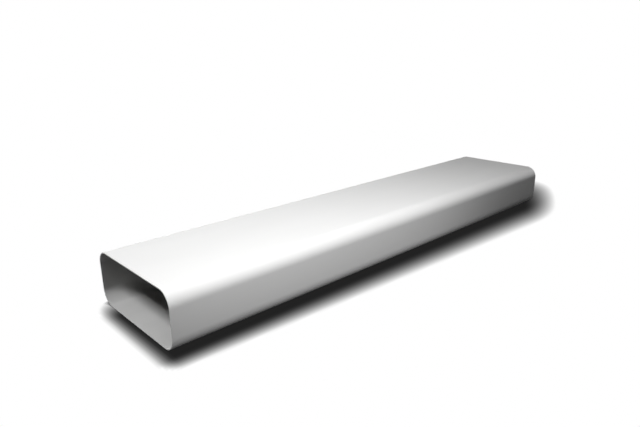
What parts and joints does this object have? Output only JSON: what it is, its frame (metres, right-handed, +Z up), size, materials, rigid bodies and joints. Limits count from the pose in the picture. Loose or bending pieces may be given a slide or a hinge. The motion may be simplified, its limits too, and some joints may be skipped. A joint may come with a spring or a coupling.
{
  "type": "flat channel duct",
  "caption": "Straight length of flat ventilation duct: a thin-walled plastic tube of rounded rectangular section, open at both square-cut ends, that carries extracted air.",
  "frame": {"origin": "middle of the underside, on the surface that the duct lies on", "axes": "+X along the duct from the near end to the far end, +Y across its width, +Z up through its height"},
  "size_m": [1, 0.22, 0.09],
  "materials": {
    "white_pvc": "satin white rigid PVC, as extruded"
  },
  "bodies": {
    "root": {"flat_channel_duct": "white_pvc"}
  },
  "joints": []
}
